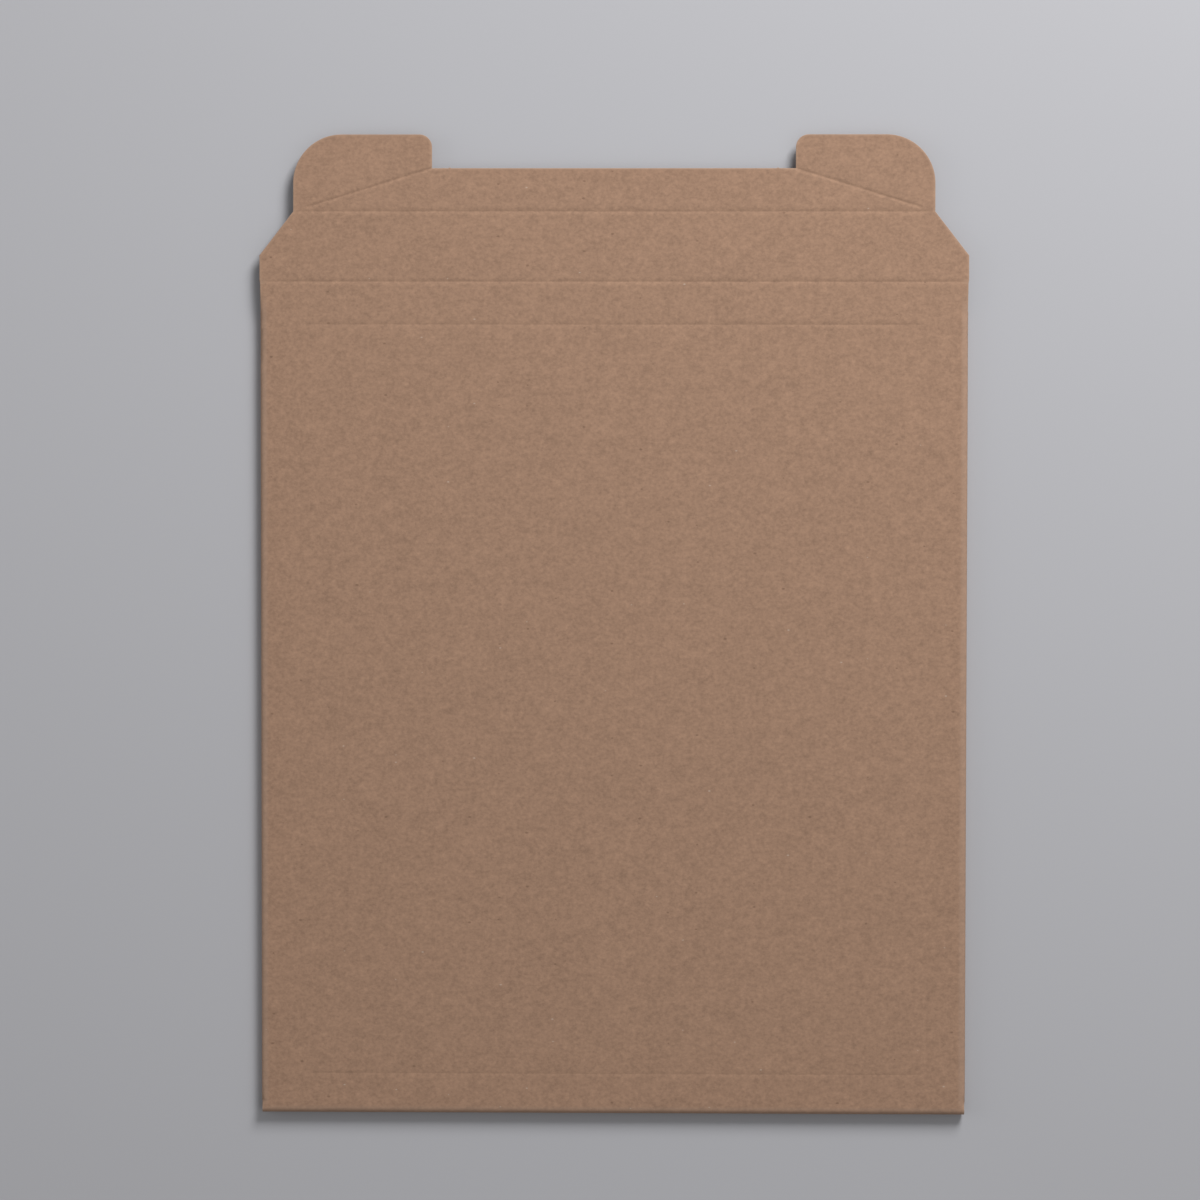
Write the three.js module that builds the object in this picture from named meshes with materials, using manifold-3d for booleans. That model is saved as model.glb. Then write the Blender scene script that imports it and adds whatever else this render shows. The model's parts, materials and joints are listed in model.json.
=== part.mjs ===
// A kraft rigid mailer: one die-cut blank of board, folded and glued into a flat pocket,
// with a closing flap that carries a tuck panel and two locking ears.
// It lies on its back, front panel up, with the closing flap opened out towards +Y.
// Millimetres, +Z up. The origin lies under the middle of the whole outline.

import * as THREE from "three";
import { mergeVertices } from "three/addons/utils/BufferGeometryUtils.js";
import Module from "manifold-3d";

const wasm = await Module();
wasm.setup();

// Board
const boardThickness = 0.7;
const kraftColour = 0xa0816c;
const kraftRoughness = 0.92;

// Pocket
const pocketWidth = 323.85;
const pocketLength = 382.3;
const innerDepth = 4.6;
const foldReach = 4;
const backPanelInset = 1.6;
const glueFlapWidth = 22;
const glueFlapTaper = 9;
const cornerSlit = 1.5;

// Closing flap, measured from the main crease or the tuck crease
const flapOverhang = 0.25;
const flapDepth = 32;
const shoulderStart = 12;
const shoulderInset = 15.5;
const tuckDepth = 19.7;
const earHeight = 35.1;
const earWidth = 63.6;
const earOuterRadius = 22.2;
const earInnerRadius = 5.8;

// Creases pressed into the outer face
const creaseWidth = 1.8;
const creaseFloorWidth = 0.7;
const creaseDepth = 0.24;
const insetCreaseDepth = 0.14;
const insetCreaseSide = 18;
const insetCreaseTop = 19.6;
const insetCreaseBottom = 18.4;
const insetCreaseRunOn = 6;
const earCreaseStop = 3.2;

// Clearances
const hingeGap = 0.3;
const shoulderClearance = 1.5;

// How far one solid runs into another where two are joined, and how far a cut runs past a face
const joinOverlap = 1;
const cutOverrun = 0.5;

const arcSegments = 6;
const quarterTurn = Math.PI / 2;

// Heights, with the outside of the back panel at zero
const backTop = boardThickness;
const glueFlapTop = backTop + boardThickness;
const cavityTop = backTop + innerDepth;
const frontTop = cavityTop + boardThickness;

// Places along the mailer
const overallLength = pocketLength + flapDepth + earHeight;
const bottomY = -overallLength / 2;
const bottomBendY = bottomY + foldReach;
const mainCreaseY = bottomY + pocketLength;
const mouthY = mainCreaseY - flapDepth;
const tuckCreaseY = mainCreaseY + flapDepth;
const tuckEdgeY = tuckCreaseY + tuckDepth;
const earTopY = tuckCreaseY + earHeight;
const wrapStartY = bottomBendY + cornerSlit;
const wrapEndY = mainCreaseY - shoulderStart - shoulderClearance;
const pocketTopY = mainCreaseY - hingeGap / 2;
const flapRootY = mainCreaseY + hingeGap / 2;

// Places across the mailer, from its middle
const halfWidth = pocketWidth / 2;
const sideBendX = halfWidth - foldReach;
const glueFlapX = halfWidth - glueFlapWidth;
const flapHalfWidth = halfWidth + flapOverhang;
const earOuterX = flapHalfWidth - shoulderInset;
const earInnerX = earOuterX - earWidth;

// The side folds are as high as the space between the back panel and the front face
const sideBendZ = (frontTop + backTop) / 2;
const sideBendRise = (frontTop - backTop) / 2;

function extrude(shape, depth) {
  return new THREE.ExtrudeGeometry(shape, {
    depth,
    bevelEnabled: false,
    curveSegments: arcSegments,
  });
}

// A section drawn in X and Z, run along Y from one place to another
function runAlongY(shape, startY, endY) {
  const geometry = extrude(shape, endY - startY);
  geometry.rotateX(quarterTurn);
  geometry.translate(0, endY, 0);
  return geometry;
}

// A section drawn in Y and Z, run across X over the width given
function runAcrossX(shape, width) {
  const geometry = extrude(shape, width);
  const turn = new THREE.Matrix4().makeBasis(
    new THREE.Vector3(0, 1, 0),
    new THREE.Vector3(0, 0, 1),
    new THREE.Vector3(1, 0, 0),
  );
  geometry.applyMatrix4(turn);
  geometry.translate(-width / 2, 0, 0);
  return geometry;
}

// An outline drawn in X and Y, from one height to another
function raise(shape, lowZ, highZ) {
  const geometry = extrude(shape, highZ - lowZ);
  geometry.translate(0, 0, lowZ);
  return geometry;
}

function polygon(points) {
  return new THREE.Shape(points.map(([x, y]) => new THREE.Vector2(x, y)));
}

function toSolid(geometry) {
  const bare = geometry.clone();
  bare.deleteAttribute("normal");
  bare.deleteAttribute("uv");
  const merged = mergeVertices(bare);
  return new wasm.Manifold(
    new wasm.Mesh({
      numProp: 3,
      vertProperties: new Float32Array(merged.attributes.position.array),
      triVerts: new Uint32Array(merged.index.array),
    }),
  );
}

function toGeometry(solid) {
  const mesh = solid.getMesh();
  const geometry = new THREE.BufferGeometry();
  geometry.setAttribute("position", new THREE.BufferAttribute(mesh.vertProperties, 3));
  geometry.setIndex(new THREE.BufferAttribute(mesh.triVerts, 1));
  const flat = geometry.toNonIndexed();
  flat.computeVertexNormals();
  return flat;
}

function boardMesh(name, solid) {
  const material = new THREE.MeshStandardMaterial({
    color: kraftColour,
    roughness: kraftRoughness,
    metalness: 0,
  });
  const mesh = new THREE.Mesh(toGeometry(solid), material);
  mesh.name = name;
  return mesh;
}

// The front panel, its two side folds and the glue flaps under them, seen along the mailer
function wrapSection() {
  const innerReach = foldReach - boardThickness;
  const innerRise = sideBendRise - boardThickness;
  const section = new THREE.Shape();
  section.moveTo(-sideBendX, frontTop);
  section.lineTo(sideBendX, frontTop);
  section.absellipse(sideBendX, sideBendZ, foldReach, sideBendRise, quarterTurn, -quarterTurn, true);
  section.lineTo(glueFlapX, backTop);
  section.lineTo(glueFlapX, glueFlapTop);
  section.lineTo(sideBendX, glueFlapTop);
  section.absellipse(sideBendX, sideBendZ, innerReach, innerRise, -quarterTurn, quarterTurn, false);
  section.lineTo(-sideBendX, cavityTop);
  section.absellipse(-sideBendX, sideBendZ, innerReach, innerRise, quarterTurn, 3 * quarterTurn, false);
  section.lineTo(-glueFlapX, glueFlapTop);
  section.lineTo(-glueFlapX, backTop);
  section.lineTo(-sideBendX, backTop);
  section.absellipse(-sideBendX, sideBendZ, foldReach, sideBendRise, 3 * quarterTurn, quarterTurn, true);
  return section;
}

// The bottom fold, with short lips that run into the front and back panels
function bottomFoldSection() {
  const middleZ = frontTop / 2;
  const lipY = wrapStartY + joinOverlap;
  const section = new THREE.Shape();
  section.moveTo(lipY, frontTop);
  section.lineTo(bottomBendY, frontTop);
  section.absellipse(bottomBendY, middleZ, foldReach, middleZ, quarterTurn, 3 * quarterTurn, false);
  section.lineTo(lipY, 0);
  section.lineTo(lipY, backTop);
  section.lineTo(bottomBendY, backTop);
  section.absellipse(
    bottomBendY,
    middleZ,
    foldReach - boardThickness,
    middleZ - boardThickness,
    3 * quarterTurn,
    quarterTurn,
    true,
  );
  section.lineTo(lipY, cavityTop);
  return section;
}

// The closed pocket's outline seen from its mouth, with square lower corners
function pocketEnvelope() {
  const section = new THREE.Shape();
  section.moveTo(-halfWidth, -cutOverrun);
  section.lineTo(halfWidth, -cutOverrun);
  section.lineTo(halfWidth, sideBendZ);
  section.absellipse(sideBendX, sideBendZ, foldReach, sideBendRise, 0, quarterTurn, false);
  section.lineTo(-sideBendX, frontTop);
  section.absellipse(-sideBendX, sideBendZ, foldReach, sideBendRise, quarterTurn, 2 * quarterTurn, false);
  return section;
}

function bottomFold() {
  const fold = toSolid(runAcrossX(bottomFoldSection(), pocketWidth));
  const envelope = runAlongY(pocketEnvelope(), bottomY - cutOverrun, wrapStartY + 2 * joinOverlap);
  return fold.intersect(toSolid(envelope));
}

function backPanel() {
  const edgeX = halfWidth - backPanelInset;
  const outline = polygon([
    [-edgeX, bottomBendY],
    [edgeX, bottomBendY],
    [edgeX, mouthY],
    [-edgeX, mouthY],
  ]);
  return toSolid(raise(outline, 0, backTop));
}

// The flat end of the front panel beside the main crease, where the side folds have stopped
function frontPanelHead() {
  const outline = polygon([
    [-halfWidth, wrapEndY - joinOverlap],
    [halfWidth, wrapEndY - joinOverlap],
    [halfWidth, pocketTopY],
    [-halfWidth, pocketTopY],
  ]);
  return toSolid(raise(outline, cavityTop, frontTop));
}

// What the slanted ends of one glue flap leave out; side is 1 or -1
function glueFlapTrims(side) {
  const outerX = side * (halfWidth + cutOverrun);
  const innerX = side * (glueFlapX - cutOverrun);
  const shoulderSlope = (flapDepth - shoulderStart) / shoulderInset;
  const headInnerX = side * (halfWidth - (wrapEndY - mouthY) / shoulderSlope);
  const head = polygon([
    [outerX, wrapEndY + cutOverrun],
    [side * halfWidth, wrapEndY],
    [headInnerX, mouthY],
    [innerX, mouthY],
    [innerX, wrapEndY + cutOverrun],
  ]);
  const foot = polygon([
    [side * sideBendX, wrapStartY - cutOverrun],
    [side * sideBendX, wrapStartY],
    [innerX, wrapStartY + glueFlapTaper],
    [innerX, wrapStartY - cutOverrun],
  ]);
  return toSolid(raise(head, -cutOverrun, sideBendZ)).add(toSolid(raise(foot, -cutOverrun, sideBendZ)));
}

// A groove from one point of the outer face to another
function crease([startX, startY], [endX, endY], depth) {
  const start = new THREE.Vector3(startX, startY, frontTop);
  const run = new THREE.Vector3(endX - startX, endY - startY, 0);
  const up = new THREE.Vector3(0, 0, 1);
  const along = run.clone().normalize();
  const across = up.clone().cross(along);
  const section = polygon([
    [-creaseWidth / 2, cutOverrun],
    [-creaseWidth / 2, 0],
    [-creaseFloorWidth / 2, -depth],
    [creaseFloorWidth / 2, -depth],
    [creaseWidth / 2, 0],
    [creaseWidth / 2, cutOverrun],
  ]);
  const geometry = extrude(section, run.length());
  geometry.applyMatrix4(new THREE.Matrix4().makeBasis(across, up, along));
  geometry.translate(start.x, start.y, start.z);
  return toSolid(geometry);
}

// The main crease, cut half from the pocket and half from the closing flap
function mainCrease() {
  const endX = flapHalfWidth + cutOverrun;
  return crease([-endX, mainCreaseY], [endX, mainCreaseY], creaseDepth);
}

// The faint rectangle of creases that lets the front panel rise when the pocket is filled
function insetCreases() {
  const sideX = halfWidth - insetCreaseSide;
  const topY = mainCreaseY - insetCreaseTop;
  const lowY = bottomY + insetCreaseBottom;
  const top = crease([-sideX, topY], [sideX, topY], insetCreaseDepth);
  const low = crease([-sideX, lowY], [sideX, lowY], insetCreaseDepth);
  const left = crease([-sideX, lowY - insetCreaseRunOn], [-sideX, topY], insetCreaseDepth);
  const right = crease([sideX, lowY - insetCreaseRunOn], [sideX, topY], insetCreaseDepth);
  return top.add(low).add(left).add(right);
}

function pocket() {
  const wrap = toSolid(runAlongY(wrapSection(), wrapStartY, wrapEndY));
  return wrap
    .subtract(glueFlapTrims(1))
    .subtract(glueFlapTrims(-1))
    .add(frontPanelHead())
    .add(bottomFold())
    .add(backPanel())
    .subtract(mainCrease())
    .subtract(insetCreases());
}

// The outline of the closing flap, from its root at the main crease round both ears
function closingFlapOutline() {
  const outline = new THREE.Shape();
  const shoulderY = mainCreaseY + shoulderStart;
  const outerArcX = earOuterX - earOuterRadius;
  const innerArcX = earInnerX + earInnerRadius;
  const outerArcY = earTopY - earOuterRadius;
  const innerArcY = earTopY - earInnerRadius;
  outline.moveTo(-flapHalfWidth, flapRootY);
  outline.lineTo(flapHalfWidth, flapRootY);
  outline.lineTo(flapHalfWidth, shoulderY);
  outline.lineTo(earOuterX, tuckCreaseY);
  outline.lineTo(earOuterX, outerArcY);
  outline.absarc(outerArcX, outerArcY, earOuterRadius, 0, quarterTurn, false);
  outline.lineTo(innerArcX, earTopY);
  outline.absarc(innerArcX, innerArcY, earInnerRadius, quarterTurn, 2 * quarterTurn, false);
  outline.lineTo(earInnerX, tuckEdgeY);
  outline.lineTo(-earInnerX, tuckEdgeY);
  outline.lineTo(-earInnerX, innerArcY);
  outline.absarc(-innerArcX, innerArcY, earInnerRadius, 0, quarterTurn, false);
  outline.lineTo(-outerArcX, earTopY);
  outline.absarc(-outerArcX, outerArcY, earOuterRadius, quarterTurn, 2 * quarterTurn, false);
  outline.lineTo(-earOuterX, tuckCreaseY);
  outline.lineTo(-flapHalfWidth, shoulderY);
  return outline;
}

// A crease slants from near an ear's outer root to its inner root; side is 1 or -1
function earCrease(side) {
  const root = new THREE.Vector2(side * earOuterX, tuckCreaseY);
  const corner = new THREE.Vector2(side * earInnerX, tuckEdgeY);
  const along = corner.clone().sub(root).normalize();
  const start = root.clone().addScaledVector(along, earCreaseStop);
  const end = corner.clone().addScaledVector(along, creaseWidth);
  return crease([start.x, start.y], [end.x, end.y], creaseDepth);
}

function closingFlap() {
  const board = toSolid(raise(closingFlapOutline(), cavityTop, frontTop));
  const creaseEndX = earOuterX + creaseWidth;
  const tuckCrease = crease([-creaseEndX, tuckCreaseY], [creaseEndX, tuckCreaseY], creaseDepth);
  const creases = mainCrease().add(tuckCrease).add(earCrease(1)).add(earCrease(-1));
  return board.subtract(creases);
}

const mailer = new THREE.Group();
mailer.add(boardMesh("pocket", pocket()));
mailer.add(boardMesh("closing_flap", closingFlap()));

export default mailer;
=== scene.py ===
import json
import math

import bpy
import numpy as np
from mathutils import Matrix, Vector


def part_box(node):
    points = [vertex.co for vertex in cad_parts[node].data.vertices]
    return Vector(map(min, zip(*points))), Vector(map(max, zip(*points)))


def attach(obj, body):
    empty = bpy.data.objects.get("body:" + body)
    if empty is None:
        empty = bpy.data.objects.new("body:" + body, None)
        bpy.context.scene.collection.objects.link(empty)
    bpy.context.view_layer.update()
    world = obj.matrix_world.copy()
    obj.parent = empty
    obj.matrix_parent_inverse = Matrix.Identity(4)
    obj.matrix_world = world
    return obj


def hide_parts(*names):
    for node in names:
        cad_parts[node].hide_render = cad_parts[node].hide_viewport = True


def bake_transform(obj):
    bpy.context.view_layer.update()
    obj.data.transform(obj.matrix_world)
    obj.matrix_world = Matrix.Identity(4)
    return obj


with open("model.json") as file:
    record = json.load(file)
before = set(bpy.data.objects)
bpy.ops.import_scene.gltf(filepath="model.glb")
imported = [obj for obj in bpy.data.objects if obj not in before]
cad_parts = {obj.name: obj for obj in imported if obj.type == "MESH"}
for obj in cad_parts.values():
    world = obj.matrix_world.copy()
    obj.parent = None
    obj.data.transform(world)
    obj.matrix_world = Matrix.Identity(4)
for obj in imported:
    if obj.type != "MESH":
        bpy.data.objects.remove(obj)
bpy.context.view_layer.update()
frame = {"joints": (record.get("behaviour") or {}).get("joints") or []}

MM = 0.001

# Sizes that the frame gives
pocket_low, pocket_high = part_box("pocket")
flap_low, flap_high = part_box("closing_flap")
BOARD = flap_high.z - flap_low.z
FRONT_Z = pocket_high.z
BOTTOM_Y = pocket_low.y
HALF_WIDTH = pocket_high.x
FLAP_HALF_WIDTH = flap_high.x
EAR_TOP_Y = flap_high.y
CREASE_Y = frame["joints"][0]["pos_m"][1]

# Folds of the pocket
FOLD_REACH = 4 * MM
FOLD_POWER = 3
GLUE_LINE = 0.03 * MM
SIDE_FOLD_LEAD = 3.5 * MM
SIDE_FOLD_LAG = 1 * MM
SIDE_FOLD_OPENING = 17 * MM

# Outline of the pocket's sheet
BACK_INSET = 1.6 * MM
CORNER_INSET = 0.3 * MM
CORNER_SLIT = 1.5 * MM
CORNER_RUN_OUT = 3 * MM
GLUE_FLAP_WIDTH = 22 * MM
GLUE_FLAP_TAPER = 9 * MM
GLUE_FLAP_HEAD_SLOPE = 0.86
HEAD_STEP_TOP = 1 * MM
HEAD_STEP_FOOT = 4 * MM

# Closing flap
FLAP_DEPTH = 32 * MM
SHOULDER_START = 12 * MM
SHOULDER_CLEARANCE = 1.5 * MM
SHOULDER_INSET = 15.5 * MM
TUCK_DEPTH = 19.7 * MM
EAR_WIDTH = 63.6 * MM
EAR_OUTER_RADIUS = 22.2 * MM
EAR_INNER_RADIUS = 5.8 * MM
NICK_X = 75 * MM
NICK_REACH = 0.7 * MM
NICK_HEIGHT = 0.35 * MM
NICK_FADE = 1 * MM

# Creases
CREASE_REACH = 2.2 * MM
CREASE_FLOOR = 0.12 * MM
CREASE_DEPTH = 0.26 * MM
CREASE_FADE = 5 * MM
EAR_CREASE_DEPTH = 0.32 * MM
EAR_CREASE_REACH = 1.5 * MM
EAR_CREASE_STOP = 3.2 * MM
INSET_TOP_DEPTH = 0.18 * MM
INSET_LOW_DEPTH = 0.13 * MM
INSET_SIDE_DEPTH = 0.07 * MM
INSET_SIDE = 18 * MM
INSET_TOP = 19.6 * MM
INSET_BOTTOM = 18.4 * MM
INSET_RUN_ON = 6 * MM
BEAD_SHARE = 0.6
STRIP_REACH = 1.1 * MM

# Cut edges, and the outside of the folds, painted paler: partly rubbed wear, partly painted highlight on the
# bend
EDGE_RADIUS = 0.14 * MM
EDGE_STATIONS = np.array([0.14, 0.05, 0.0]) * MM
EDGE_TINT_REACH = 1.2 * MM
RUB_AND_SHEEN_START = 0.2 * MM
RUB_AND_SHEEN_FULL = 1.8 * MM
RUB_AND_SHEEN_FADE = 6 * MM
RUB_AND_SHEEN_END = 9 * MM
SMOOTH_ANGLE = math.radians(50)

# The gentle waves of a flat panel, and where they die out
WAVE_HEIGHT = 0.12 * MM
WAVE_EDGE = 2 * MM
WAVE_RISE = 30 * MM
WAVE_RISE_BELOW_CREASE = 25 * MM
WAVE_RISE_ABOVE_CREASE = 20 * MM

# Grid lines over each stretch of the sheets
FOLD_STEPS = 800
CREASE_LINES = 15
BACK_LINES = 44
BEND_LINES = 25
LOW_BORDER_LINES = 14
FRONT_LINES = 62
TOP_BORDER_LINES = 18
PANEL_LINES = 34
SIDE_BORDER_LINES = 6
SIDE_FOLD_LINES = 25
GLUE_FLAP_LINES = 6
SIDE_FOLD_SHARE = 0.42
FLAP_FOOT_LINES = 6
SHOULDER_LINES = 9
TUCK_LINES = 56
TUCK_MIDDLE_LINES = 24
NICK_LINES = 9
EAR_LINES = 92
EAR_ARC_LINES = 20
STRIP_ROWS = 17
STRIP_LINES = 48
EDGE_MARGIN = 2 * MM
TUCK_EDGE_MARGIN = 0.4 * MM
EAR_MARGIN = 0.3 * MM
LEAST_GAP = 0.1 * MM
SAME_PLACE = 0.0001 * MM

# Places along and across the mailer
BEND_Y = BOTTOM_Y + FOLD_REACH
MOUTH_Y = CREASE_Y - FLAP_DEPTH
TUCK_CREASE_Y = CREASE_Y + FLAP_DEPTH
TUCK_EDGE_Y = TUCK_CREASE_Y + TUCK_DEPTH
WRAP_START_Y = BEND_Y + CORNER_SLIT
WRAP_END_Y = CREASE_Y - SHOULDER_START - SHOULDER_CLEARANCE
SIDE_BEND_X = HALF_WIDTH - FOLD_REACH
EAR_OUTER_X = FLAP_HALF_WIDTH - SHOULDER_INSET
EAR_INNER_X = EAR_OUTER_X - EAR_WIDTH
INSET_X = HALF_WIDTH - INSET_SIDE
INSET_TOP_Y = CREASE_Y - INSET_TOP
INSET_LOW_Y = BOTTOM_Y + INSET_BOTTOM
BOTTOM_FOLD_RISE = (FRONT_Z - BOARD) / 2
SIDE_FOLD_RISE = (FRONT_Z - 2 * BOARD - GLUE_LINE) / 2


def ease(value, start, stop):
    """0 before start and 1 after stop, with a smooth step 3t^2 - 2t^3 between them."""
    t = np.clip((value - start) / (stop - start), 0, 1)
    return t * t * (3 - 2 * t)


def ease_line(value, start, stop):
    """0 before start, 1 after stop and a straight line between them."""
    return np.clip((value - start) / (stop - start), 0, 1)


def join(*stretches):
    """Stations of several stretches in one rising row, each station once."""
    return np.unique(np.round(np.concatenate(stretches), 8))


def mirrored(right):
    """Columns over the full width: the right half behind its own mirror image, the middle line once."""
    return np.concatenate([-right[:, :0:-1], right], 1)


def across_crease(place):
    """Stations over one crease, closest in its middle: place plus reach times t |t|, t from -1 to 1."""
    step = np.linspace(-1, 1, CREASE_LINES)
    return place + CREASE_REACH * step * np.abs(step)


def slant_wave(x, y, across, along, phase):
    """A slow wave that crosses the panel at a slant: sine of x / across + y / along + phase."""
    return np.sin(x / across + y / along + phase)


def wave(x, y):
    """Height of the panel's gentle waves: the wave height times a weighted sum of three slant waves."""
    long_wave = slant_wave(x, y, across=41 * MM, along=67 * MM, phase=0.8)
    cross_wave = slant_wave(x, y, across=-95 * MM, along=38 * MM, phase=2.1)
    ripple = slant_wave(x, y, across=23 * MM, along=-29 * MM, phase=0)
    return WAVE_HEIGHT * (0.5 * long_wave + 0.4 * cross_wave + 0.1 * ripple)


def line_distance(x, y, start, end):
    """Distance of each point from a straight line between two points.

    The nearest point lies at start + t (end - start). t is the point's share of the way along the line,
    kept between 0 and 1.
    """
    run = np.subtract(end, start)
    t = ((x - start[0]) * run[0] + (y - start[1]) * run[1]) / (run @ run)
    t = np.clip(t, 0, 1)
    return np.hypot(x - start[0] - t * run[0], y - start[1] - t * run[1])


def groove(x, y, start, end, depth, reach=CREASE_REACH):
    """A crease pressed along a line: depth times (1 - distance / reach)^2, faded out at both ends."""
    run = np.subtract(end, start)
    length = math.hypot(*run)
    along = ((x - start[0]) * run[0] + (y - start[1]) * run[1]) / length
    aside = np.abs((x - start[0]) * run[1] - (y - start[1]) * run[0]) / length
    hollow = np.clip(1 - np.hypot(aside, CREASE_FLOOR) / reach, 0, 1) ** 2
    ends = ease(along, 0, CREASE_FADE) * ease(length - along, 0, CREASE_FADE)
    return depth * hollow * ends


def main_groove(x, y):
    """Depth of the main crease, which the closing flap swings on."""
    return groove(x, y, [-FLAP_HALF_WIDTH, CREASE_Y], [FLAP_HALF_WIDTH, CREASE_Y], CREASE_DEPTH)


def pocket_groove(x, y):
    """Depth of the pocket's creases, the deepest one at each point.

    They are the main crease and the faint rectangle inside the front panel's border, whose two sides
    run on past its lower line.
    """
    top = groove(x, y, [-INSET_X, INSET_TOP_Y], [INSET_X, INSET_TOP_Y], INSET_TOP_DEPTH)
    low = groove(x, y, [-INSET_X, INSET_LOW_Y], [INSET_X, INSET_LOW_Y], INSET_LOW_DEPTH)
    side_foot = [INSET_X, INSET_LOW_Y - INSET_RUN_ON]
    sides = groove(np.abs(x), y, side_foot, [INSET_X, INSET_TOP_Y], INSET_SIDE_DEPTH)
    return np.maximum.reduce([main_groove(x, y), top, low, sides])


def flap_groove(x, y):
    """Depth of the closing flap's creases, the deepest one at each point.

    They are the main crease, the tuck crease and the slanted crease at the root of each ear, which runs
    from the foot of the ear's outer side to the tuck edge's corner.
    """
    tuck = groove(x, y, [-EAR_OUTER_X, TUCK_CREASE_Y], [EAR_OUTER_X, TUCK_CREASE_Y], CREASE_DEPTH)
    root = np.array([EAR_OUTER_X, TUCK_CREASE_Y])
    corner = np.array([EAR_INNER_X, TUCK_EDGE_Y])
    along = (corner - root) / np.linalg.norm(corner - root)
    start = root + along * EAR_CREASE_STOP
    end = corner + along * CREASE_FADE
    ear = groove(np.abs(x), y, start, end, EAR_CREASE_DEPTH, EAR_CREASE_REACH)
    return np.maximum.reduce([main_groove(x, y), tuck, ear])


def edge_softness(distance):
    """Half the board's thickness beside a cut edge, whose rim is rounded to a quarter circle.

    It is half the board less the radius, plus the root of radius^2 - reach^2, where reach is how far the
    point lies inside the rounded rim.
    """
    reach = np.clip(EDGE_RADIUS - distance, 0, EDGE_RADIUS)
    return BOARD / 2 - EDGE_RADIUS + np.sqrt(EDGE_RADIUS**2 - reach**2)


def finish_marks(near, rub):
    """What the finish reads at each point: 1 at a cut edge, easing to 0 inside, and the fold's rubbed wear
    and painted highlight.
    """
    return {"edge": ease(-near, -EDGE_TINT_REACH, 0), "rub": rub}


def boundary_sides(mask):
    """Grid edges with a face on one side only, as pairs of (row, column), in their face's order."""
    rows, columns = mask.shape
    padded = np.zeros((rows + 2, columns + 2), bool)
    padded[1:-1, 1:-1] = mask
    row, column = np.nonzero(mask)
    below = ~padded[row, column + 1]
    above = ~padded[row + 2, column + 1]
    left = ~padded[row + 1, column]
    right = ~padded[row + 1, column + 2]
    starts = [
        (row[below], column[below]),
        (row[right], column[right] + 1),
        (row[above] + 1, column[above] + 1),
        (row[left] + 1, column[left]),
    ]
    ends = [
        (row[below], column[below] + 1),
        (row[right] + 1, column[right] + 1),
        (row[above] + 1, column[above]),
        (row[left], column[left]),
    ]
    start = np.concatenate([np.stack(pair, 1) for pair in starts])
    end = np.concatenate([np.stack(pair, 1) for pair in ends])
    return start, end


def board_faces(mask):
    """Four-sided faces of a closed board: outer skin, inner skin and the cut edge, in that order.

    A point's number is its row times the columns plus its column. The inner skin's numbers follow those
    of the outer skin, and its faces turn the other way. Returns the faces and how many the cut edge has.
    """
    rows = mask.shape[0] + 1
    columns = mask.shape[1] + 1
    index = np.arange(rows * columns).reshape(rows, columns)
    corners = [index[:-1, :-1], index[:-1, 1:], index[1:, 1:], index[1:, :-1]]
    skin = np.stack([corner[mask] for corner in corners], 1)
    start, end = boundary_sides(mask)
    first = index[start[:, 0], start[:, 1]]
    second = index[end[:, 0], end[:, 1]]
    inner = rows * columns
    rim = np.stack([second, first, first + inner, second + inner], 1)
    return np.concatenate([skin, skin[:, ::-1] + inner, rim]), len(rim)


def board_object(name, outer, inner, mask, marks):
    """One closed piece of board: an outer skin, an inner skin and the cut edge between them.

    outer and inner are grids of points. mask says which grid cells have board. marks gives, point by
    point, how near a cut edge the board is, and how far a fold has rubbed it and carries a painted highlight,
    for the finish.
    """
    faces, rim_faces = board_faces(mask)
    points = np.concatenate([outer.reshape(-1, 3), inner.reshape(-1, 3)])
    used, faces = np.unique(faces, return_inverse=True)
    faces = faces.reshape(-1, 4)
    mesh = bpy.data.meshes.new(name)
    mesh.from_pydata(points[used].tolist(), [], faces.tolist())
    on_rim = np.zeros(len(faces), np.int32)
    on_rim[-rim_faces:] = 1
    mesh.polygons.foreach_set("material_index", on_rim)
    mesh.polygons.foreach_set("use_smooth", np.ones(len(faces), bool))
    for mark, values in marks.items():
        both = np.concatenate([values.ravel(), values.ravel()])[used]
        mesh.attributes.new(mark, "FLOAT", "POINT").data.foreach_set("value", both.astype(np.float32))
    mesh.set_sharp_from_angle(angle=SMOOTH_ANGLE)
    mesh.validate()
    piece = bpy.data.objects.new(name, mesh)
    bpy.context.scene.collection.objects.link(piece)
    return piece


def fold_path(rise):
    """Half turn of a fold as reach, drop and length of sheet, on the curve |u|^n + |v|^n = 1.

    With n the fold power, u is sin(turn)^(2/n), which times the fold's reach is how far out the sheet
    goes, and v is cos(turn)^(2/n). The drop is rise times (1 - v). The length adds up the steps.
    """
    turn = np.linspace(0, np.pi, FOLD_STEPS)
    reach = (FOLD_REACH - BOARD / 2) * np.sin(turn) ** (2 / FOLD_POWER)
    level = np.sign(np.cos(turn)) * np.abs(np.cos(turn)) ** (2 / FOLD_POWER)
    drop = rise * (1 - level)
    length = np.concatenate([[0], np.cumsum(np.hypot(np.diff(reach), np.diff(drop)))])
    return reach, drop, length


def side_fold(beyond, folded):
    """Where the sheet goes beyond the start of a side fold, as its reach outwards and its drop.

    beyond is the length of sheet past the start. The folded sheet follows the half turn and then runs
    flat back inwards. folded mixes that with the unfolded sheet, 0 flat to 1 folded.
    """
    reach, drop, length = fold_path(SIDE_FOLD_RISE)
    bent_out = np.interp(beyond, length, reach) - np.maximum(beyond - length[-1], 0)
    bent_drop = np.interp(beyond, length, drop)
    return beyond * (1 - folded) + bent_out * folded, bent_drop * folded


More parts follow.
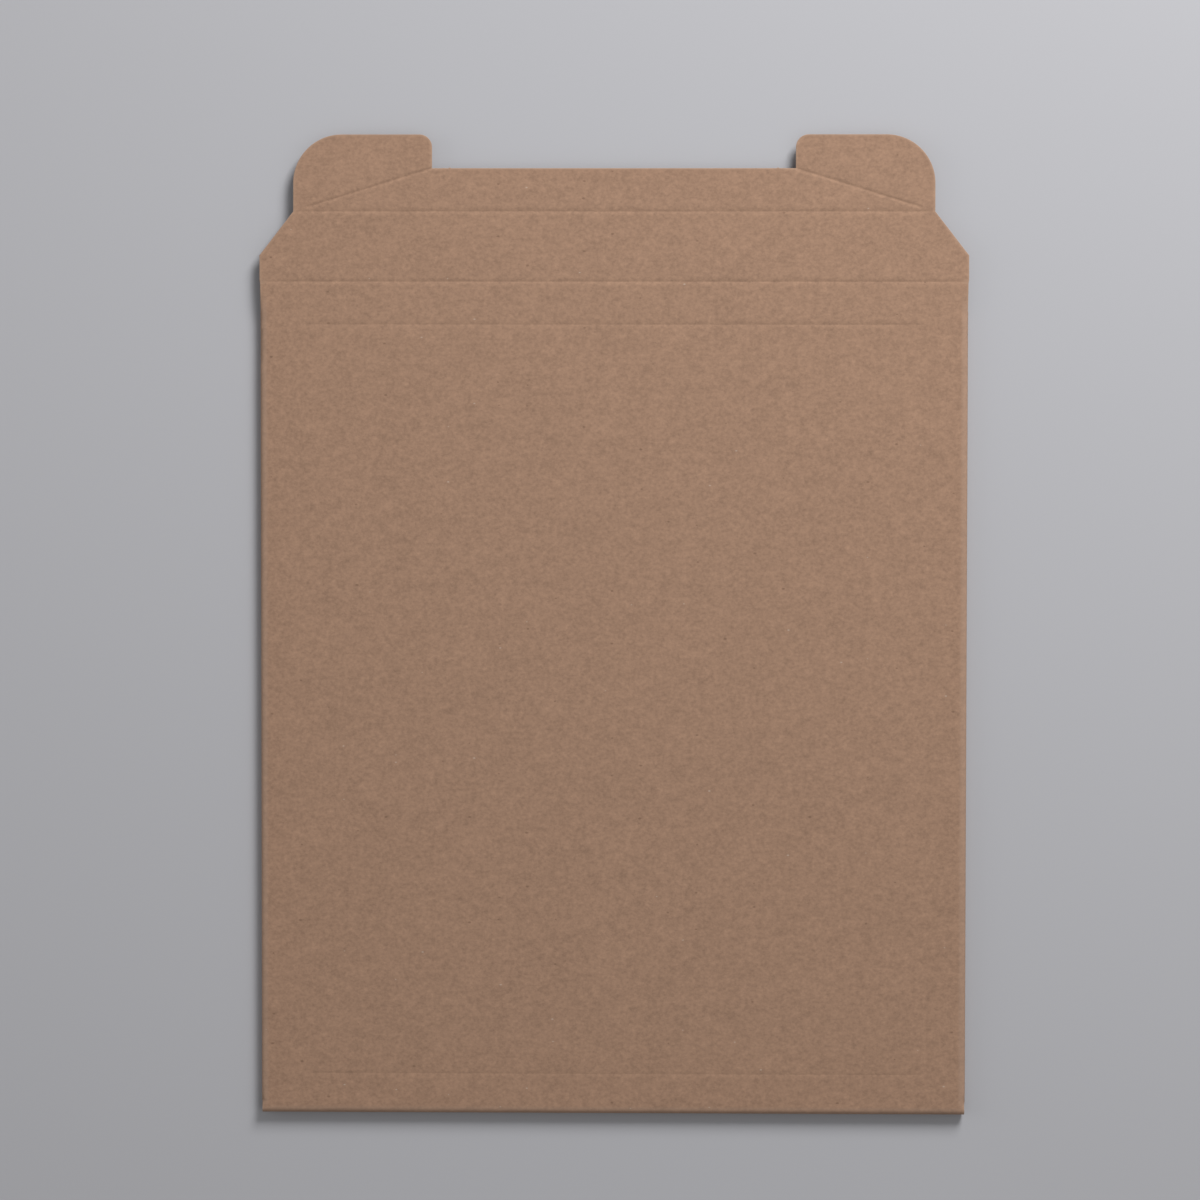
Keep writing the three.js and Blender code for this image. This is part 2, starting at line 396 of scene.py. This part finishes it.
def side_fold_share(place):
    """How far both sides are folded at each place along the sheet, 0 flat to 1 folded.

    It rises beside the bottom fold and falls again towards the main crease.
    """
    rise = ease(place, BEND_Y - SIDE_FOLD_LEAD, WRAP_START_Y + SIDE_FOLD_LAG)
    return rise * (1 - ease(place, CREASE_Y - SIDE_FOLD_OPENING, CREASE_Y - STRIP_REACH))


def fold_rub_and_sheen(beyond):
    """How far the outside of a fold is painted pale, partly rubbed wear and partly a painted highlight on the
    bend: 1 over the bend, 0 on the flat board beside it.
    """
    return ease(beyond, RUB_AND_SHEEN_START, RUB_AND_SHEEN_FULL) * (1 - ease(beyond, RUB_AND_SHEEN_FADE, RUB_AND_SHEEN_END))


def front_rows():
    """Grid lines up the front panel, from the bottom fold to the strip along the main crease."""
    low = np.linspace(BEND_Y, INSET_LOW_Y - CREASE_REACH, LOW_BORDER_LINES)
    middle = np.linspace(INSET_LOW_Y + CREASE_REACH, INSET_TOP_Y - CREASE_REACH, FRONT_LINES)
    high = np.linspace(INSET_TOP_Y + CREASE_REACH, CREASE_Y - CREASE_REACH, TOP_BORDER_LINES)
    last = across_crease(CREASE_Y)
    last = np.append(last[last < CREASE_Y - STRIP_REACH - LEAST_GAP], CREASE_Y - STRIP_REACH)
    return join(low, across_crease(INSET_LOW_Y), middle, across_crease(INSET_TOP_Y), high, last)


def pocket_rows():
    """The sheet's middle from the mouth edge, down the back, round the bottom fold and up the front.

    Returns each row's y, z and its place along the front panel, measured along the sheet, so it runs on
    below the front panel's y round the bottom fold and over the back panel.
    """
    back = np.linspace(MOUTH_Y - EDGE_MARGIN, BEND_Y, BACK_LINES)
    back = np.concatenate([MOUTH_Y - EDGE_STATIONS[::-1], back])
    reach, drop, length = fold_path(BOTTOM_FOLD_RISE)
    stops = np.linspace(0, length[-1], BEND_LINES)[1:-1]
    bend_y = BEND_Y - np.interp(stops, length, reach)
    bend_z = BOARD / 2 + np.interp(stops, length, drop)
    front = front_rows()
    back_z = np.full(len(back), BOARD / 2)
    front_z = np.full(len(front), FRONT_Z - BOARD / 2)
    y = np.concatenate([back, bend_y, front])
    z = np.concatenate([back_z, bend_z, front_z])
    steps = np.concatenate([[0], np.cumsum(np.hypot(np.diff(y), np.diff(z)))])
    place = steps - steps[len(back) + len(bend_y)] + BEND_Y
    return y, z, place


def blank_half_width(place):
    """Half the width of the pocket's unfolded sheet at each place, from the mouth edge to the main crease.

    The back panel is inset. The front panel has a glue flap on each side, with the least of three
    widths: its foot's, which slants out from the bottom fold, its head's, which slants in towards the
    main crease, and its full one. The head steps out to its full width where the mouth edge hides it.
    """
    bend_length = fold_path(BOTTOM_FOLD_RISE)[2][-1]
    side_length = fold_path(SIDE_FOLD_RISE)[2][-1]
    back_to_bend = ease(place, BEND_Y - bend_length, BEND_Y - bend_length / 2)
    bend_to_front = ease(place, BEND_Y, WRAP_START_Y + CORNER_RUN_OUT)
    width = HALF_WIDTH - BACK_INSET
    width = width + (BACK_INSET - CORNER_INSET) * back_to_bend
    width = width + CORNER_INSET * bend_to_front
    full = SIDE_BEND_X + side_length + GLUE_FLAP_WIDTH - FOLD_REACH
    spare = full - HALF_WIDTH
    foot = np.clip((place - WRAP_START_Y) / GLUE_FLAP_TAPER, 0, 1) * spare
    head = np.clip(WRAP_END_Y - place, 0, None) * GLUE_FLAP_HEAD_SLOPE
    head = head + spare * ease(MOUTH_Y - place, HEAD_STEP_TOP, HEAD_STEP_FOOT)
    return width + np.minimum(np.minimum(foot, head), spare)


def pocket_columns(width):
    """Distance of each grid line from the unfolded sheet's middle line, from cut edge to cut edge.

    The lines run evenly over the panel, close together over the side fold, evenly over the glue flap
    and close together again at the cut edge.
    """
    panel = join(
        np.linspace(0, INSET_X - CREASE_REACH, PANEL_LINES),
        across_crease(INSET_X),
        np.linspace(INSET_X + CREASE_REACH, SIDE_BEND_X, SIDE_BORDER_LINES),
    )
    over_fold = np.linspace(0, SIDE_FOLD_SHARE, SIDE_FOLD_LINES)[1:]
    over_glue_flap = np.linspace(SIDE_FOLD_SHARE, 1, GLUE_FLAP_LINES)[1:]
    share = np.concatenate([over_fold, over_glue_flap])
    last = width[:, None] - EDGE_STATIONS[0]
    outer = SIDE_BEND_X + share * (last - SIDE_BEND_X)
    rim = width[:, None] - EDGE_STATIONS[1:]
    return mirrored(np.concatenate([np.tile(panel, (len(width), 1)), outer, rim], 1))


def pocket_wave(x, y, place):
    """The front panel's waves, which die out at the bottom fold, the side folds and the main crease."""
    from_bend = ease(place, BEND_Y, BEND_Y + WAVE_RISE)[:, None]
    from_sides = ease(HALF_WIDTH - np.abs(x), WAVE_EDGE, WAVE_RISE)
    from_crease = ease(CREASE_Y - place, STRIP_REACH, WAVE_RISE_BELOW_CREASE)[:, None]
    return wave(x, y[:, None]) * from_bend * from_sides * from_crease


def pocket_middle(across, beyond, folded):
    """The pocket's middle surface: the rows' path, carried across and folded inwards at both sides.

    A point beyond the side bend goes out by the fold's reach, and inwards by its drop along the row's
    own inward direction, which is the path's tangent (y, z) turned a quarter to (z, -y).
    """
    y, z, place = pocket_rows()
    out, drop = side_fold(beyond, folded)
    x = np.sign(across) * (np.minimum(np.abs(across), SIDE_BEND_X) + out)
    tangent_y = np.gradient(y)
    tangent_z = np.gradient(z)
    size = np.hypot(tangent_y, tangent_z)
    inward_y = (tangent_z / size)[:, None]
    inward_z = (-tangent_y / size)[:, None]
    middle_y = y[:, None] + inward_y * drop
    middle_z = z[:, None] + inward_z * drop + pocket_wave(x, y, place)
    return np.stack([x, middle_y, middle_z], 2)


def outward(middle):
    """Unit normals of a surface grid: its step across crossed with its step along, over its length."""
    along = np.gradient(middle, axis=0)
    across = np.gradient(middle, axis=1)
    normal = np.cross(across, along)
    return normal / np.linalg.norm(normal, axis=2, keepdims=True)


def pocket_board():
    """The whole pocket as one sheet, folded at the bottom and at both sides.

    Each skin lies half the board's thickness from the middle surface. A crease presses the outer skin in
    by its depth, and the inner skin stands out by the bead's share of it.
    """
    place = pocket_rows()[2]
    width = blank_half_width(place)
    across = pocket_columns(width)
    along = np.repeat(place[:, None], across.shape[1], 1)
    beyond = np.maximum(np.abs(across) - SIDE_BEND_X, 0)
    folded = side_fold_share(along)
    middle = pocket_middle(across, beyond, folded)
    normal = outward(middle)
    near = np.minimum(width[:, None] - np.abs(across), np.abs(along - place[0]))
    half = edge_softness(near)
    press = pocket_groove(across, along)
    skin = middle + normal * (half - press)[..., None]
    lining = middle - normal * (half + BEAD_SHARE * press)[..., None]
    mask = np.ones((across.shape[0] - 1, across.shape[1] - 1), bool)
    # Pale mark over the side and bottom folds: partly rubbed wear, partly painted highlight on the bend.
    rub = np.maximum(fold_rub_and_sheen(beyond) * folded, fold_rub_and_sheen(BEND_Y - along))
    piece = board_object("pocket_board", skin, lining, mask, finish_marks(near, rub))
    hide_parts("pocket")
    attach(piece, "pocket")
    return piece


def level_skins(x, y, height, half, press):
    """Outer and inner skin of level board, half its thickness above and below its middle's height.

    A crease lowers the outer skin by its depth, and the inner skin by the bead's share of it.
    """
    skin = np.stack([x, y, height + half - press], 2)
    lining = np.stack([x, y, height - half - BEAD_SHARE * press], 2)
    return skin, lining


def ear_span(y):
    """Inner and outer edge of the ear at each height, or of the panel where it has no ear.

    The outer edge slants in over the shoulder. Each round corner takes radius less the root of
    radius^2 - up^2 off its edge, where up is the height above the arc's centre.
    """
    shoulder = ease_line(y, CREASE_Y + SHOULDER_START, TUCK_CREASE_Y)
    outer_up = np.clip(y - (EAR_TOP_Y - EAR_OUTER_RADIUS), 0, EAR_OUTER_RADIUS)
    outer_cut = EAR_OUTER_RADIUS - np.sqrt(EAR_OUTER_RADIUS**2 - outer_up**2)
    inner_up = np.clip(y - (EAR_TOP_Y - EAR_INNER_RADIUS), 0, EAR_INNER_RADIUS)
    inner_cut = EAR_INNER_RADIUS - np.sqrt(EAR_INNER_RADIUS**2 - inner_up**2)
    return EAR_INNER_X + inner_cut, FLAP_HALF_WIDTH - SHOULDER_INSET * shoulder - outer_cut


def flap_edge_distance(x, y):
    """Distance of each point of the closing flap from its cut outline, the least of all its stretches.

    An arc's distance is that of the point from its centre less the radius, in its own quarter only.
    """
    far = np.abs(x)
    shoulder_y = CREASE_Y + SHOULDER_START
    outer_y = EAR_TOP_Y - EAR_OUTER_RADIUS
    inner_y = EAR_TOP_Y - EAR_INNER_RADIUS
    outer_x = EAR_OUTER_X - EAR_OUTER_RADIUS
    inner_x = EAR_INNER_X + EAR_INNER_RADIUS
    side = line_distance(far, y, [FLAP_HALF_WIDTH, CREASE_Y], [FLAP_HALF_WIDTH, shoulder_y])
    shoulder = line_distance(far, y, [FLAP_HALF_WIDTH, shoulder_y], [EAR_OUTER_X, TUCK_CREASE_Y])
    ear_side = line_distance(far, y, [EAR_OUTER_X, TUCK_CREASE_Y], [EAR_OUTER_X, outer_y])
    top = line_distance(far, y, [outer_x, EAR_TOP_Y], [inner_x, EAR_TOP_Y])
    inner_side = line_distance(far, y, [EAR_INNER_X, inner_y], [EAR_INNER_X, TUCK_EDGE_Y])
    tuck = line_distance(far, y, [0, TUCK_EDGE_Y], [EAR_INNER_X, TUCK_EDGE_Y])
    outer_arc = np.abs(EAR_OUTER_RADIUS - np.hypot(far - outer_x, y - outer_y))
    outer_arc = np.where((far > outer_x) & (y > outer_y), outer_arc, np.inf)
    inner_arc = np.abs(EAR_INNER_RADIUS - np.hypot(far - inner_x, y - inner_y))
    inner_arc = np.where((far < inner_x) & (y > inner_y), inner_arc, np.inf)
    return np.minimum.reduce([side, shoulder, ear_side, top, inner_side, tuck, outer_arc, inner_arc])


def flap_rows():
    """Heights of the closing flap's grid lines, close together at its creases and at the tuck edge.

    Above the tuck edge they follow the ear's outer arc: the arc's foot plus radius times sin(turn).
    """
    foot = np.linspace(CREASE_Y + STRIP_REACH, CREASE_Y + SHOULDER_START, FLAP_FOOT_LINES)
    first = across_crease(CREASE_Y)
    first = first[first > CREASE_Y + STRIP_REACH + LEAST_GAP]
    shoulder = np.linspace(CREASE_Y + SHOULDER_START, TUCK_CREASE_Y - CREASE_REACH, SHOULDER_LINES)
    tuck = np.linspace(TUCK_CREASE_Y + CREASE_REACH, TUCK_EDGE_Y - TUCK_EDGE_MARGIN, TUCK_LINES)
    turn = np.linspace(0, np.pi / 2, EAR_ARC_LINES)
    arc = EAR_TOP_Y - EAR_OUTER_RADIUS + EAR_OUTER_RADIUS * np.sin(turn)
    above = arc[arc > TUCK_EDGE_Y + EAR_MARGIN]
    edge = TUCK_EDGE_Y - EDGE_STATIONS
    return join(foot, first, shoulder, across_crease(TUCK_CREASE_Y), tuck, edge, above)


def ear_columns(inner, outer):
    """Grid lines across the right ear at each height, close together at its two cut edges."""
    first = (inner + EDGE_STATIONS[0])[:, None]
    last = (outer - EDGE_STATIONS[0])[:, None]
    even = first + np.linspace(0, 1, EAR_LINES) * (last - first)
    inner_rim = inner[:, None] + EDGE_STATIONS[:0:-1]
    outer_rim = outer[:, None] - EDGE_STATIONS[1:]
    return np.concatenate([inner_rim, even, outer_rim], 1)


def nick_stub(x, y):
    """How far the cutting die's two nicks stand out of the tuck edge.

    It is half the nick's height times 1 + cos(pi t), t being the distance from the nick over its reach,
    and it fades out inside the edge.
    """
    from_nick = np.clip(np.abs(np.abs(x) - NICK_X) / NICK_REACH, 0, 1)
    stub = NICK_HEIGHT * (0.5 + 0.5 * np.cos(np.pi * from_nick))
    below_edge = y <= TUCK_EDGE_Y + SAME_PLACE
    return stub * ease(y, TUCK_EDGE_Y - NICK_FADE, TUCK_EDGE_Y) * below_edge


def flap_board():
    """The closing flap: main panel, slanted shoulders, tuck panel and two ears in one flat sheet."""
    rows = flap_rows()
    inner, outer = ear_span(rows)
    nick = (NICK_X + NICK_REACH * np.linspace(-1, 1, NICK_LINES)) / EAR_INNER_X
    centre = join(np.linspace(0, 1, TUCK_MIDDLE_LINES)[:-1], nick)
    ear = ear_columns(inner, outer)
    x = mirrored(np.concatenate([inner[:, None] * centre, ear], 1))
    y = np.repeat(rows[:, None], x.shape[1], 1)
    rise = ease(y, CREASE_Y, CREASE_Y + WAVE_RISE_ABOVE_CREASE)
    height = FRONT_Z - BOARD / 2 + wave(x, y) * rise
    near = flap_edge_distance(x, y)
    y = y + nick_stub(x, y)
    skin, lining = level_skins(x, y, height, edge_softness(near), flap_groove(x, y))
    cell = np.arange(x.shape[1] - 1)
    in_ear = (cell < ear.shape[1] - 1) | (cell >= x.shape[1] - ear.shape[1])
    mask = (rows[:-1, None] < TUCK_EDGE_Y - SAME_PLACE) | in_ear
    piece = board_object("closing_flap_board", skin, lining, mask, finish_marks(near, 0 * near))
    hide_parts("closing_flap")
    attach(piece, "closing_flap")
    return piece


def crease_strip():
    """The board along the main crease, pressed to a groove outside and a bead inside."""
    rows = np.linspace(CREASE_Y - STRIP_REACH, CREASE_Y + STRIP_REACH, STRIP_ROWS)
    width = HALF_WIDTH + (FLAP_HALF_WIDTH - HALF_WIDTH) * ease(rows, rows[0], rows[-1])
    even = np.linspace(0, 1, STRIP_LINES) * (width[:, None] - EDGE_STATIONS[0])
    x = mirrored(np.concatenate([even, width[:, None] - EDGE_STATIONS[1:]], 1))
    y = np.repeat(rows[:, None], x.shape[1], 1)
    near = width[:, None] - np.abs(x)
    skin, lining = level_skins(x, y, FRONT_Z - BOARD / 2, edge_softness(near), main_groove(x, y))
    mask = np.ones((x.shape[0] - 1, x.shape[1] - 1), bool)
    piece = board_object("main_crease", skin, lining, mask, finish_marks(near, 0 * near))
    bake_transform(piece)
    return piece


def new_group(name, inputs, outputs):
    """An empty shader node group with the named inputs and outputs."""
    group = bpy.data.node_groups.new(name, "ShaderNodeTree")
    for label, kind, value in inputs:
        socket = group.interface.new_socket(label, in_out="INPUT", socket_type=kind)
        socket.default_value = value
    for label, kind in outputs:
        group.interface.new_socket(label, in_out="OUTPUT", socket_type=kind)
    return group, group.nodes.new("NodeGroupInput"), group.nodes.new("NodeGroupOutput")


def add(tree, kind, **settings):
    """A new node with some of its properties set."""
    node = tree.nodes.new(kind)
    for name, value in settings.items():
        setattr(node, name, value)
    return node


def put(tree, value, socket):
    """Links a socket to an input, or sets the input to a plain value."""
    if isinstance(value, bpy.types.NodeSocket):
        tree.links.new(value, socket)
    else:
        socket.default_value = value


def math_node(tree, operation, first, second):
    """A Math node; its two inputs are numbers or sockets."""
    node = add(tree, "ShaderNodeMath", operation=operation)
    put(tree, first, node.inputs[0])
    put(tree, second, node.inputs[1])
    return node.outputs[0]


def mix_colour(tree, share, first, second):
    """A colour Mix node; share and both colours are values or sockets."""
    node = add(tree, "ShaderNodeMix", data_type="RGBA", blend_type="MIX")
    put(tree, share, node.inputs[0])
    put(tree, first, node.inputs[6])
    put(tree, second, node.inputs[7])
    return node.outputs[2]


def step_between(tree, value, low, high, start, stop):
    """A smooth step of value from low to high, put out from start to stop."""
    node = add(tree, "ShaderNodeMapRange", interpolation_type="SMOOTHSTEP")
    put(tree, value, node.inputs[0])
    for socket, number in zip(node.inputs[1:5], (low, high, start, stop)):
        socket.default_value = number
    return node.outputs[0]


def mapped(tree, coordinates, stretch, offset=(0, 0, 0)):
    """Coordinates times the stretch, plus the offset."""
    mapping = add(tree, "ShaderNodeMapping")
    mapping.inputs["Location"].default_value = offset
    mapping.inputs["Scale"].default_value = stretch
    tree.links.new(coordinates, mapping.inputs["Vector"])
    return mapping.outputs[0]


def noise(tree, coordinates, scale, detail, roughness, stretch):
    """Noise with its pattern stretched along the axes, from 0 to 1 about 0.5."""
    node = add(tree, "ShaderNodeTexNoise")
    tree.links.new(mapped(tree, coordinates, stretch), node.inputs["Vector"])
    node.inputs["Scale"].default_value = scale
    node.inputs["Detail"].default_value = detail
    node.inputs["Roughness"].default_value = roughness
    return node.outputs[0]


def specks(tree, coordinates, cell, share, core, rim, offset):
    """Small round specks, one in each of a share of the cells, 1 inside the core and 0 past the rim.

    Each cell's distance from its own centre is divided by a size that differs from speck to speck.
    """
    cells = add(tree, "ShaderNodeTexVoronoi", voronoi_dimensions="2D")
    tree.links.new(mapped(tree, coordinates, stretch=(1, 1.6, 1), offset=offset), cells.inputs["Vector"])
    cells.inputs["Scale"].default_value = 1 / cell
    parts = add(tree, "ShaderNodeSeparateColor")
    tree.links.new(cells.outputs["Color"], parts.inputs[0])
    chosen = math_node(tree, "LESS_THAN", parts.outputs[0], share)
    size = step_between(tree, parts.outputs[1], low=0, high=1, start=0.55, stop=1)
    reach = math_node(tree, "DIVIDE", cells.outputs["Distance"], size)
    dot = step_between(tree, reach, low=core, high=rim, start=1, stop=0)
    return math_node(tree, "MULTIPLY", dot, chosen)


def swing(tree, value, weight):
    """Swing of a noise value about its middle: weight times value less a half."""
    return math_node(tree, "MULTIPLY", math_node(tree, "SUBTRACT", value, 0.5), weight)


def fibre_tone(tree, contrast, fibres, fine, flocks, clouds):
    """Tone that multiplies the board's colour: 1 plus the contrast times the sum of four swings."""
    tone = swing(tree, fibres, weight=0.74)
    tone = math_node(tree, "ADD", tone, swing(tree, fine, weight=0.16))
    tone = math_node(tree, "ADD", tone, swing(tree, flocks, weight=0.34))
    tone = math_node(tree, "ADD", tone, swing(tree, clouds, weight=0.12))
    tone = math_node(tree, "MULTIPLY", tone, contrast)
    return math_node(tree, "ADD", tone, 1)


def speckled(tree, place, colour):
    """A colour with a few brown specks of bark and pale specks of pulp mixed over it."""
    bark = specks(tree, place, cell=13 * MM, share=0.07, core=0.025, rim=0.085, offset=(0.3, 0.1, 0))
    pulp = specks(tree, place, cell=12 * MM, share=0.04, core=0.03, rim=0.06, offset=(0.7, 0.9, 0))
    bark = math_node(tree, "MULTIPLY", bark, 0.45)
    pulp = math_node(tree, "MULTIPLY", pulp, 0.4)
    colour = mix_colour(tree, bark, colour, (0.12, 0.068, 0.043, 1))
    return mix_colour(tree, pulp, colour, (0.62, 0.52, 0.44, 1))


def kraft_fibre_group():
    """Kraft board's own look: pressed fibres, cloudy pulp and scattered specks.

    It gives a colour, a height for the bump, which is the fibres plus half the fine noise, and a
    roughness that steps up with the fibres.
    """
    group, given, result = new_group(
        "kraft_fibre",
        [
            ("Coordinates", "NodeSocketVector", (0, 0, 0)),
            ("Colour", "NodeSocketColor", (0.3, 0.2, 0.15, 1)),
            ("Contrast", "NodeSocketFloat", 1.0),
        ],
        [("Colour", "NodeSocketColor"), ("Height", "NodeSocketFloat"), ("Roughness", "NodeSocketFloat")],
    )
    place = given.outputs["Coordinates"]
    fibres = noise(group, place, scale=620, detail=4, roughness=0.66, stretch=(0.94, 1.1, 1))
    fine = noise(group, place, scale=1600, detail=2, roughness=0.5, stretch=(0.8, 1.2, 1))
    flocks = noise(group, place, scale=270, detail=2, roughness=0.55, stretch=(0.92, 1.1, 1))
    clouds = noise(group, place, scale=90, detail=3, roughness=0.5, stretch=(0.8, 1.2, 1))
    tone = fibre_tone(group, given.outputs["Contrast"], fibres, fine, flocks, clouds)
    toned = add(group, "ShaderNodeVectorMath", operation="SCALE")
    group.links.new(given.outputs["Colour"], toned.inputs[0])
    group.links.new(tone, toned.inputs["Scale"])
    height = math_node(group, "ADD", fibres, math_node(group, "MULTIPLY", fine, 0.5))
    rough = step_between(group, fibres, low=0.3, high=0.7, start=0.86, stop=0.97)
    group.links.new(speckled(group, place, toned.outputs[0]), result.inputs["Colour"])
    group.links.new(height, result.inputs["Height"])
    group.links.new(rough, result.inputs["Roughness"])
    return group


def linear(red, green, blue):
    """A colour that is written in the 0 to 255 steps of a picture, as the shaders need it."""
    steps = np.array([red, green, blue]) / 255
    value = np.where(steps <= 0.04045, steps / 12.92, ((steps + 0.055) / 1.055) ** 2.4)
    return (*value.tolist(), 1)


def marked(tree, name, share):
    """One of the board's own marks, as the finish reads it, times a share."""
    mark = add(tree, "ShaderNodeAttribute", attribute_name=name)
    return math_node(tree, "MULTIPLY", mark.outputs["Fac"], share)


def kraft_material(name, group, colour, contrast, height, edge_tint):
    """A kraft board finish, a little paler beside the frayed cut edges and on the folds, where the pale is
    partly wear and partly a painted highlight.
    """
    material = bpy.data.materials.new(name)
    material.use_nodes = True
    tree = material.node_tree
    shader = tree.nodes["Principled BSDF"]
    place = add(tree, "ShaderNodeTexCoord")
    fibre = add(tree, "ShaderNodeGroup", node_tree=group)
    tree.links.new(place.outputs["Object"], fibre.inputs["Coordinates"])
    fibre.inputs["Colour"].default_value = colour
    fibre.inputs["Contrast"].default_value = contrast
    shaded = mix_colour(tree, marked(tree, "edge", share=0.5), fibre.outputs["Colour"], edge_tint)
    # Painted highlight: the fold bends are mixed towards a paler kraft, partly for rubbed wear and partly
    # standing in for light on the rounded fold.
    shaded = mix_colour(tree, marked(tree, "rub", share=0.3), shaded, linear(177, 150, 132))
    bump = add(tree, "ShaderNodeBump")
    bump.inputs["Strength"].default_value = 0.5
    bump.inputs["Distance"].default_value = height
    tree.links.new(fibre.outputs["Height"], bump.inputs["Height"])
    tree.links.new(shaded, shader.inputs["Base Color"])
    tree.links.new(fibre.outputs["Roughness"], shader.inputs["Roughness"])
    tree.links.new(bump.outputs[0], shader.inputs["Normal"])
    shader.inputs["Specular IOR Level"].default_value = 0.25
    return material


def kraft_face_material(group):
    """The flat faces of the board, inside and outside."""
    return kraft_material(
        "kraft_face",
        group,
        colour=linear(160, 128, 106),
        contrast=1.0,
        height=0.04 * MM,
        edge_tint=linear(178, 148, 126),
    )


def kraft_cut_material(group):
    """The cut edge of the board, darker and rougher, where the fibres end."""
    return kraft_material(
        "kraft_cut_edge",
        group,
        colour=linear(150, 119, 97),
        contrast=1.6,
        height=0.12 * MM,
        edge_tint=linear(160, 130, 108),
    )


def pale_floor():
    """A plain pale floor, a hair below the mailer's back."""
    reach = 3.0
    level = -0.02 * MM
    corners = [(-reach, -reach, level), (reach, -reach, level), (reach, reach, level), (-reach, reach, level)]
    mesh = bpy.data.meshes.new("floor")
    mesh.from_pydata(corners, [], [(0, 1, 2, 3)])
    floor = bpy.data.objects.new("floor", mesh)
    bpy.context.scene.collection.objects.link(floor)
    material = bpy.data.materials.new("floor_paper")
    material.use_nodes = True
    shader = material.node_tree.nodes["Principled BSDF"]
    shader.inputs["Base Color"].default_value = linear(182, 182, 186)
    shader.inputs["Roughness"].default_value = 0.9
    shader.inputs["Specular IOR Level"].default_value = 0.2
    mesh.materials.append(material)


def area_lamp(name, place, size, power):
    """A square white lamp at a place, turned towards the middle of the mailer."""
    lamp = bpy.data.lights.new(name, "AREA")
    lamp.shape = "SQUARE"
    lamp.size = size
    lamp.energy = power
    holder = bpy.data.objects.new(name, lamp)
    holder.location = place
    holder.rotation_euler = (-Vector(place)).to_track_quat("-Z", "Y").to_euler()
    bpy.context.scene.collection.objects.link(holder)


def soft_light():
    """A soft key lamp from beyond the closing flap, a weak fill, a weak left lamp and a pale world."""
    area_lamp("key", place=(0.65, 1.3, 1.0), size=0.7, power=31.2)
    area_lamp("fill", place=(0.9, -0.3, 1.7), size=1.4, power=2.4)
    area_lamp("left", place=(-1.7, 0.1, 0.6), size=1.2, power=4.8)
    world = bpy.data.worlds.new("studio")
    world.use_nodes = True
    world.node_tree.nodes["Background"].inputs["Color"].default_value = (1, 1, 1, 1)
    world.node_tree.nodes["Background"].inputs["Strength"].default_value = 0.25
    bpy.context.scene.world = world


def camera():
    """The view of the photograph: nearly square on, from a little past the closing flap and the right."""
    distance = 2.0
    lean = math.radians(2.2)
    turn = math.radians(1.2)
    roll = math.radians(0.06)
    pixels_for_each_metre = 2182
    frame_pixels = 1200
    aim = Vector((-6.1 * MM, 12.0 * MM, FRONT_Z))
    sight = Vector((math.sin(turn) * math.cos(lean), math.sin(lean), math.cos(turn) * math.cos(lean)))
    data = bpy.data.cameras.new("camera")
    data.sensor_width = 36
    data.lens = data.sensor_width * pixels_for_each_metre * distance / frame_pixels
    data.clip_end = 20
    holder = bpy.data.objects.new("camera", data)
    holder.location = aim + distance * sight
    upright = Matrix.Rotation(turn, 4, "Y") @ Matrix.Rotation(-lean, 4, "X") @ Matrix.Rotation(roll, 4, "Z")
    holder.rotation_euler = upright.to_euler()
    bpy.context.scene.collection.objects.link(holder)
    bpy.context.scene.camera = holder


fibre_group = kraft_fibre_group()
kraft_face = kraft_face_material(fibre_group)
kraft_cut = kraft_cut_material(fibre_group)

for board in (pocket_board(), flap_board(), crease_strip()):
    board.data.materials.append(kraft_face)
    board.data.materials.append(kraft_cut)

pale_floor()
soft_light()
camera()
bpy.context.scene.view_settings.view_transform = "Standard"
